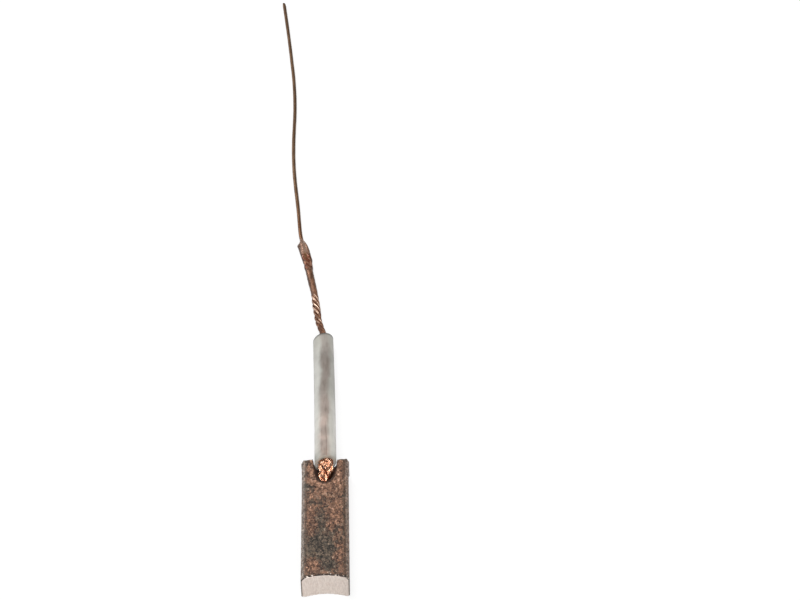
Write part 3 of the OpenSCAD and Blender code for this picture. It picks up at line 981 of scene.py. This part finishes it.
def milky_tubing(paint):
    """Milky and half clear: painted paler at its sides and on its left as painted light, painted darker
    where it lies in the notch as painted shade, and greyer towards its far end, whose rim is dark.
    """
    y = paint.split()[1]
    rim, wall, beside, flank = (paint.attribute(name) for name in ("rim", "wall", "beside", "flank"))
    cloud = paint.noise(2.2, 2, 0.5)
    far = paint.steps(y, 16, 24)
    drift = paint.plus(beside, paint.steps(paint.noise(3.5, 1, 0.5), 0.3, 0.7, -0.2, 0.2))
    width = paint.steps(paint.noise(2.5, 2, 0.5), 0.3, 0.7, 0.9, 1.25)
    band = paint.steps(paint.math("DIVIDE", paint.math("ABSOLUTE", drift), width), 0.95, 0.2)

    milk = paint.mix(paint.steps(cloud, 0.35, 0.7), (216, 213, 203), (230, 227, 217))
    # Painted light: the sides of the tube are painted paler.
    milk = paint.mix(paint.times(flank, paint.steps(y, 12, 19, 0.55, 1)), milk, (246, 244, 238))
    milk = paint.mix(paint.times(far, 0.85), milk, (180, 179, 170))
    # Painted light on the tube's left side.
    left_side = paint.times(paint.steps(beside, -0.45, -1.05), paint.steps(y, 14, 19))
    left_side = paint.times(left_side, paint.steps(y, 33, 30, 0, 0.6))
    milk = paint.mix(left_side, milk, (238, 237, 230))
    milk = strands_behind(paint, milk, band, far, cloud, beside, y)
    # Painted shade where the sleeve lies in the notch, darker at its sides.
    notch_shade_on_sleeve = paint.times(paint.steps(y, 11.4, 9.6), paint.steps(flank, 0, 1, 0.3, 0.6))
    milk = paint.mix(notch_shade_on_sleeve, milk, (118, 120, 108))
    rim_colour = paint.mix(far, (180, 174, 162), (44, 48, 44))
    milk = paint.mix(paint.times(rim, 0.96), milk, rim_colour)

    haze = paint.math("SUBTRACT", paint.steps(cloud, 0.3, 0.7, 0.7, 0.78), paint.times(band, 0.08))
    haze = paint.math("ADD", haze, paint.steps(y, 29.5, 32.8, 0, 0.32), clamp=True)
    haze = paint.steps(wall, 0, 1, 0.06, haze)
    paint.set(
        Base_Color=milk,
        Roughness=paint.steps(cloud, 0.3, 0.7, 0.5, 0.38),
        Alpha=paint.math("MAXIMUM", haze, paint.times(rim, 0.85)),
        IOR=1.35,
        Normal=paint.bump(paint.noise(1.1, 2, 0.5), 0.01, 0.4),
    )


# ---- braze
# Spots on the joint, stains and painted light: place by the shares of its length and half width, reach each
# way, colour, strength.
BRAZE_SPOTS = (
    (0.47, -0.1, 0.13, 0.32, (116, 84, 48), 0.8),
    (0.7, 0.15, 0.16, 0.4, (178, 150, 132), 0.7),
    (0.92, 0.3, 0.07, 0.22, (206, 184, 168), 0.8),
    # Painted shade on the joint's left side.
    (0.8, -0.85, 0.3, 0.45, (92, 70, 58), 0.8),
    (0.96, 0.0, 0.08, 0.4, (118, 94, 80), 0.6),
    # Painted highlights, low on both sides of the joint.
    (0.2, 0.7, 0.1, 0.3, (206, 156, 128), 0.7),
    (0.26, -0.55, 0.09, 0.25, (206, 156, 128), 0.7),
)


def braze(paint):
    """Tan braze over the crushed strands, rusty below its front and brown down the cable."""
    t, u = paint.attribute("along"), paint.attribute("across")
    stain = paint.noise(0.35, 4, 0.6)
    ragged_t = paint.plus(t, paint.steps(stain, 0.3, 0.7, -0.06, 0.06))
    ragged_u = paint.plus(u, paint.steps(stain, 0.3, 0.7, -0.12, 0.12))
    grain = paint.noise(0.3, 3, vector=paint.stretched((1, 0.2, 1)))
    tan = paint.mix(paint.steps(stain, 0.35, 0.7), (140, 104, 86), (182, 146, 124))
    rust = paint.mix(paint.steps(stain, 0.4, 0.65), (96, 44, 24), (140, 84, 58))
    umber = paint.mix(paint.steps(grain, 0.35, 0.65), (94, 63, 44), (148, 106, 80))
    colour = paint.mix(paint.steps(ragged_t, 0.42, 0.58), rust, tan)
    colour = paint.mix(paint.steps(ragged_t, 0.1, -0.02), colour, umber)
    for spot_t, spot_u, reach_t, reach_u, shade, share in BRAZE_SPOTS:
        off_t = paint.math("DIVIDE", paint.math("SUBTRACT", ragged_t, spot_t), reach_t)
        off_u = paint.math("DIVIDE", paint.math("SUBTRACT", ragged_u, spot_u), reach_u)
        away = paint.plus(paint.times(off_t, off_t), paint.times(off_u, off_u))
        colour = paint.mix(paint.times(paint.steps(away, 1, 0.1), share), colour, shade)
    # Both sides are painted darker as painted shade, also down the cable.
    colour = paint.mix(paint.steps(u, -0.5, -0.8, 0, 0.78), colour, (84, 62, 50))
    colour = paint.mix(paint.steps(u, 0.62, 0.88, 0, 0.62), colour, (92, 68, 54))
    sides = paint.steps(paint.math("ABSOLUTE", u), 0.4, 0.66, 0, 0.6)
    sides = paint.times(sides, paint.steps(ragged_t, 0.12, 0))
    colour = paint.mix(sides, colour, (74, 52, 40))
    paint.set(
        Base_Color=colour,
        Metallic=0.45,
        Roughness=paint.steps(stain, 0.3, 0.7, 0.55, 0.3),
        Normal=paint.bump(paint.mix(0.5, paint.noise(0.12, 3), grain), 0.03, 0.8),
    )


# ---- dull copper wire
def dull_copper(paint):
    """Drawn wire gone taupe, and redder where the joint was heated."""
    y = paint.split()[1]
    stain = paint.noise(0.8, 4, 0.6, vector=paint.stretched((1, 0.35, 1)))
    taupe = paint.mix(paint.steps(stain, 0.35, 0.7), (104, 78, 56), (142, 111, 85))
    heated = paint.times(paint.steps(y, 70, 57), 0.6)
    scratches = paint.noise(0.1, 3, vector=paint.stretched((1, 0.15, 1)))
    paint.set(
        Base_Color=paint.mix(heated, taupe, (126, 84, 58)),
        Metallic=0.8,
        Roughness=paint.steps(stain, 0.3, 0.7, 0.5, 0.34),
        Normal=paint.bump(scratches, 0.01, 0.6),
    )


# ---- the pieces and the frame
cable = make_cable()
wire = make_wire()
joint = make_joint()
sleeve = make_sleeve()
block = make_block()

for piece, finish, node, slot in (
    (block, copper_graphite, "brush_block", "copper_graphite"),
    (cable, copper_strand, "shunt_cable", "copper_strand"),
    (sleeve, milky_tubing, "insulating_sleeve", "milky_tubing"),
    (joint, braze, "braze_joint", "braze"),
    (wire, dull_copper, "lead_wire", "dull_copper"),
):
    paint = Paint(slot)
    finish(paint)
    paint.on(piece)
    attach(piece, "root")
    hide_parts(node)


# ---- floor and light
FLOOR_HALF = 2


def make_floor():
    """A white surface, evened out by a glow where it is seen directly, in gloss or through the sleeve."""
    corners = [(x * FLOOR_HALF, y * FLOOR_HALF, -LAY_GAP) for x, y in ((-1, -1), (1, -1), (1, 1), (-1, 1))]
    floor = new_piece("floor", corners, [[0, 1, 2, 3]])
    paint = Paint("floor_white")
    paint.set(Base_Color=(0.6, 0.6, 0.6, 1), Roughness=0.9)
    ray = paint.node("LightPath").outputs
    seen = paint.math("MAXIMUM", ray["Is Camera Ray"], ray["Is Glossy Ray"])
    seen = paint.math("MAXIMUM", seen, ray["Is Transmission Ray"])
    glow = paint.node("Emission")
    glow.inputs["Strength"].default_value = 1.3
    blend = paint.node("MixShader")
    paint.put(blend.inputs[0], paint.times(seen, 0.62))
    paint.put(blend.inputs[1], paint.shader.outputs[0])
    paint.put(blend.inputs[2], glow.outputs[0])
    paint.put(paint.tree.nodes["Material Output"].inputs["Surface"], blend.outputs[0])
    paint.on(floor)


def make_world():
    """Soft light from all round. Only the camera sees the pale background instead."""
    world = bpy.data.worlds.new("studio")
    scene.world = world
    world.use_nodes = True
    tree = world.node_tree
    sky = tree.nodes["Background"]
    sky.inputs["Color"].default_value = (1, 1, 1, 1)
    sky.inputs["Strength"].default_value = 0.24
    white = tree.nodes.new("ShaderNodeBackground")
    white.inputs["Strength"].default_value = 1
    ray = tree.nodes.new("ShaderNodeLightPath")
    blend = tree.nodes.new("ShaderNodeMixShader")
    for socket, value in zip(blend.inputs, (ray.outputs["Is Camera Ray"], sky.outputs[0], white.outputs[0])):
        tree.links.new(value, socket)
    tree.links.new(blend.outputs[0], tree.nodes["World Output"].inputs["Surface"])


def area_lamp(name, shape, size, power):
    light = bpy.data.lights.new(name, "AREA")
    light.shape = shape
    light.size = size
    light.energy = power
    return add_object(name, light)


def round_lamp(name, place, target, size, power):
    """A round lamp at a place, turned towards its target."""
    lamp = area_lamp(name, "DISK", size, power)
    lamp.location = place
    lamp.rotation_euler = (Vector(target) - Vector(place)).to_track_quat("-Z", "Y").to_euler()


def strip_lamp(name, start, end, target, width, power):
    """A long lamp from start to end, turned towards its target."""
    start, end, target = Vector(start), Vector(end), Vector(target)
    lamp = area_lamp(name, "RECTANGLE", (end - start).length, power)
    lamp.data.size_y = width
    middle = (start + end) / 2
    back = (middle - target).normalized()
    length = (end - start).normalized()
    length = (length - back * length.dot(back)).normalized()
    turned = Matrix((length, back.cross(length), back)).transposed().to_4x4()
    turned.translation = middle
    lamp.matrix_world = turned


make_floor()
make_world()
round_lamp("key", (-0.05, -0.08, 0.52), (0, 0.03, 0), 0.2, 0.75)
strip_lamp("streak", (-0.4, 0.37, 0.17), (-0.02, 0.16, 0.55), (0, 0.03, 0), 0.05, 1.3)
round_lamp("front", (0.14, -0.42, 0.3), (0, 0.0, 0), 0.25, 1.35)

scene.view_settings.view_transform = "Standard"
